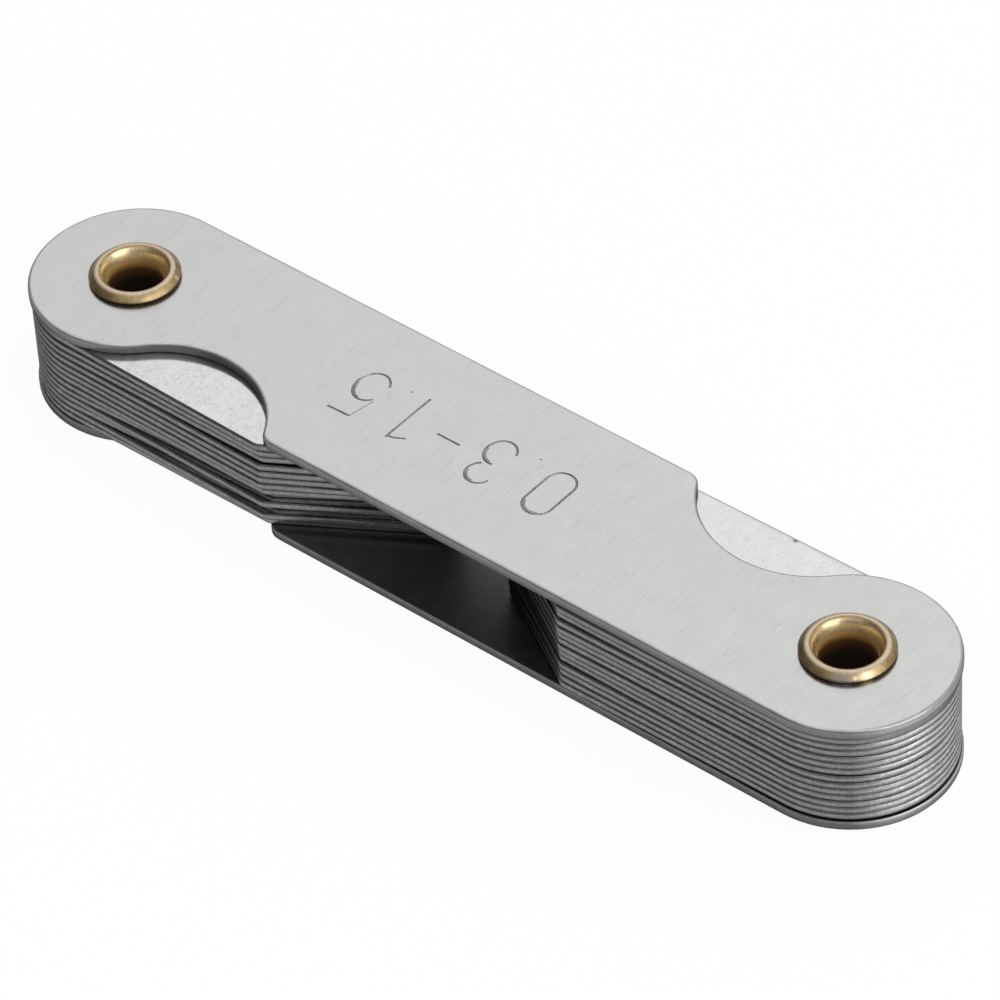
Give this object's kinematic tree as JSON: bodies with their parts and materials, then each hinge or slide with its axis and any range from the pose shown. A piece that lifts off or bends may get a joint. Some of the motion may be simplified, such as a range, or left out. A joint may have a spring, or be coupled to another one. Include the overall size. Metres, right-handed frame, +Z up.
{
  "type": "radius gauge",
  "caption": "Pocket radius gauge: thin steel leaves with rounded or notched tips fan out from both ends of two cover plates, each turning on a hollow brass eyelet.",
  "frame": {"origin": "on the ground under the middle of the holder, level with the lower lips of the two eyelets", "axes": "+X along the holder from the rounded leaves' eyelet to the notched leaves' eyelet, +Y across it, +Z up along the eyelets"},
  "size_m": [0.0732, 0.0148, 0.01],
  "materials": {
    "cover_steel": "satin",
    "leaf_steel": "satin",
    "eyelet_brass": "satin"
  },
  "bodies": {
    "holder": {"top_cover": "cover_steel", "bottom_cover": "cover_steel", "left_eyelet": "eyelet_brass", "right_eyelet": "eyelet_brass"},
    "convex_leaf_01": {"convex_leaf_01": "leaf_steel"},
    "convex_leaf_02": {"convex_leaf_02": "leaf_steel"},
    "convex_leaf_03": {"convex_leaf_03": "leaf_steel"},
    "convex_leaf_04": {"convex_leaf_04": "leaf_steel"},
    "convex_leaf_05": {"convex_leaf_05": "leaf_steel"},
    "convex_leaf_06": {"convex_leaf_06": "leaf_steel"},
    "convex_leaf_07": {"convex_leaf_07": "leaf_steel"},
    "convex_leaf_08": {"convex_leaf_08": "leaf_steel"},
    "convex_leaf_09": {"convex_leaf_09": "leaf_steel"},
    "convex_leaf_10": {"convex_leaf_10": "leaf_steel"},
    "convex_leaf_11": {"convex_leaf_11": "leaf_steel"},
    "convex_leaf_12": {"convex_leaf_12": "leaf_steel"},
    "convex_leaf_13": {"convex_leaf_13": "leaf_steel"},
    "concave_leaf_01": {"concave_leaf_01": "leaf_steel"},
    "concave_leaf_02": {"concave_leaf_02": "leaf_steel"},
    "concave_leaf_03": {"concave_leaf_03": "leaf_steel"},
    "concave_leaf_04": {"concave_leaf_04": "leaf_steel"},
    "concave_leaf_05": {"concave_leaf_05": "leaf_steel"},
    "concave_leaf_06": {"concave_leaf_06": "leaf_steel"},
    "concave_leaf_07": {"concave_leaf_07": "leaf_steel"},
    "concave_leaf_08": {"concave_leaf_08": "leaf_steel"},
    "concave_leaf_09": {"concave_leaf_09": "leaf_steel"},
    "concave_leaf_10": {"concave_leaf_10": "leaf_steel"},
    "concave_leaf_11": {"concave_leaf_11": "leaf_steel"},
    "concave_leaf_12": {"concave_leaf_12": "leaf_steel"},
    "concave_leaf_13": {"concave_leaf_13": "leaf_steel"}
  },
  "joints": [
    {"name": "convex_leaf_01_pivot", "type": "hinge", "parent": "holder", "child": "convex_leaf_01", "pos_m": [-0.0295, 0, 0.00499], "axis": [0, 0, 1], "continuous": true},
    {"name": "convex_leaf_02_pivot", "type": "hinge", "parent": "holder", "child": "convex_leaf_02", "pos_m": [-0.0295, 0, 0.00499], "axis": [0, 0, 1], "continuous": true},
    {"name": "convex_leaf_03_pivot", "type": "hinge", "parent": "holder", "child": "convex_leaf_03", "pos_m": [-0.0295, 0, 0.00499], "axis": [0, 0, 1], "continuous": true},
    {"name": "convex_leaf_04_pivot", "type": "hinge", "parent": "holder", "child": "convex_leaf_04", "pos_m": [-0.0295, 0, 0.00499], "axis": [0, 0, 1], "continuous": true},
    {"name": "convex_leaf_05_pivot", "type": "hinge", "parent": "holder", "child": "convex_leaf_05", "pos_m": [-0.0295, 0, 0.00499], "axis": [0, 0, 1], "continuous": true},
    {"name": "convex_leaf_06_pivot", "type": "hinge", "parent": "holder", "child": "convex_leaf_06", "pos_m": [-0.0295, 0, 0.00499], "axis": [0, 0, 1], "continuous": true},
    {"name": "convex_leaf_07_pivot", "type": "hinge", "parent": "holder", "child": "convex_leaf_07", "pos_m": [-0.0295, 0, 0.00499], "axis": [0, 0, 1], "continuous": true},
    {"name": "convex_leaf_08_pivot", "type": "hinge", "parent": "holder", "child": "convex_leaf_08", "pos_m": [-0.0295, 0, 0.00499], "axis": [0, 0, 1], "continuous": true},
    {"name": "convex_leaf_09_pivot", "type": "hinge", "parent": "holder", "child": "convex_leaf_09", "pos_m": [-0.0295, 0, 0.00499], "axis": [0, 0, 1], "continuous": true},
    {"name": "convex_leaf_10_pivot", "type": "hinge", "parent": "holder", "child": "convex_leaf_10", "pos_m": [-0.0295, 0, 0.00499], "axis": [0, 0, 1], "continuous": true},
    {"name": "convex_leaf_11_pivot", "type": "hinge", "parent": "holder", "child": "convex_leaf_11", "pos_m": [-0.0295, 0, 0.00499], "axis": [0, 0, 1], "continuous": true},
    {"name": "convex_leaf_12_pivot", "type": "hinge", "parent": "holder", "child": "convex_leaf_12", "pos_m": [-0.0295, 0, 0.00499], "axis": [0, 0, 1], "continuous": true},
    {"name": "convex_leaf_13_pivot", "type": "hinge", "parent": "holder", "child": "convex_leaf_13", "pos_m": [-0.0295, 0, 0.00499], "axis": [0, 0, 1], "continuous": true},
    {"name": "concave_leaf_01_pivot", "type": "hinge", "parent": "holder", "child": "concave_leaf_01", "pos_m": [0.0295, 0, 0.00499], "axis": [0, 0, 1], "continuous": true},
    {"name": "concave_leaf_02_pivot", "type": "hinge", "parent": "holder", "child": "concave_leaf_02", "pos_m": [0.0295, 0, 0.00499], "axis": [0, 0, 1], "continuous": true},
    {"name": "concave_leaf_03_pivot", "type": "hinge", "parent": "holder", "child": "concave_leaf_03", "pos_m": [0.0295, 0, 0.00499], "axis": [0, 0, 1], "continuous": true},
    {"name": "concave_leaf_04_pivot", "type": "hinge", "parent": "holder", "child": "concave_leaf_04", "pos_m": [0.0295, 0, 0.00499], "axis": [0, 0, 1], "continuous": true},
    {"name": "concave_leaf_05_pivot", "type": "hinge", "parent": "holder", "child": "concave_leaf_05", "pos_m": [0.0295, 0, 0.00499], "axis": [0, 0, 1], "continuous": true},
    {"name": "concave_leaf_06_pivot", "type": "hinge", "parent": "holder", "child": "concave_leaf_06", "pos_m": [0.0295, 0, 0.00499], "axis": [0, 0, 1], "continuous": true},
    {"name": "concave_leaf_07_pivot", "type": "hinge", "parent": "holder", "child": "concave_leaf_07", "pos_m": [0.0295, 0, 0.00499], "axis": [0, 0, 1], "continuous": true},
    {"name": "concave_leaf_08_pivot", "type": "hinge", "parent": "holder", "child": "concave_leaf_08", "pos_m": [0.0295, 0, 0.00499], "axis": [0, 0, 1], "continuous": true},
    {"name": "concave_leaf_09_pivot", "type": "hinge", "parent": "holder", "child": "concave_leaf_09", "pos_m": [0.0295, 0, 0.00499], "axis": [0, 0, 1], "continuous": true},
    {"name": "concave_leaf_10_pivot", "type": "hinge", "parent": "holder", "child": "concave_leaf_10", "pos_m": [0.0295, 0, 0.00499], "axis": [0, 0, 1], "continuous": true},
    {"name": "concave_leaf_11_pivot", "type": "hinge", "parent": "holder", "child": "concave_leaf_11", "pos_m": [0.0295, 0, 0.00499], "axis": [0, 0, 1], "continuous": true},
    {"name": "concave_leaf_12_pivot", "type": "hinge", "parent": "holder", "child": "concave_leaf_12", "pos_m": [0.0295, 0, 0.00499], "axis": [0, 0, 1], "continuous": true},
    {"name": "concave_leaf_13_pivot", "type": "hinge", "parent": "holder", "child": "concave_leaf_13", "pos_m": [0.0295, 0, 0.00499], "axis": [0, 0, 1], "continuous": true}
  ]
}
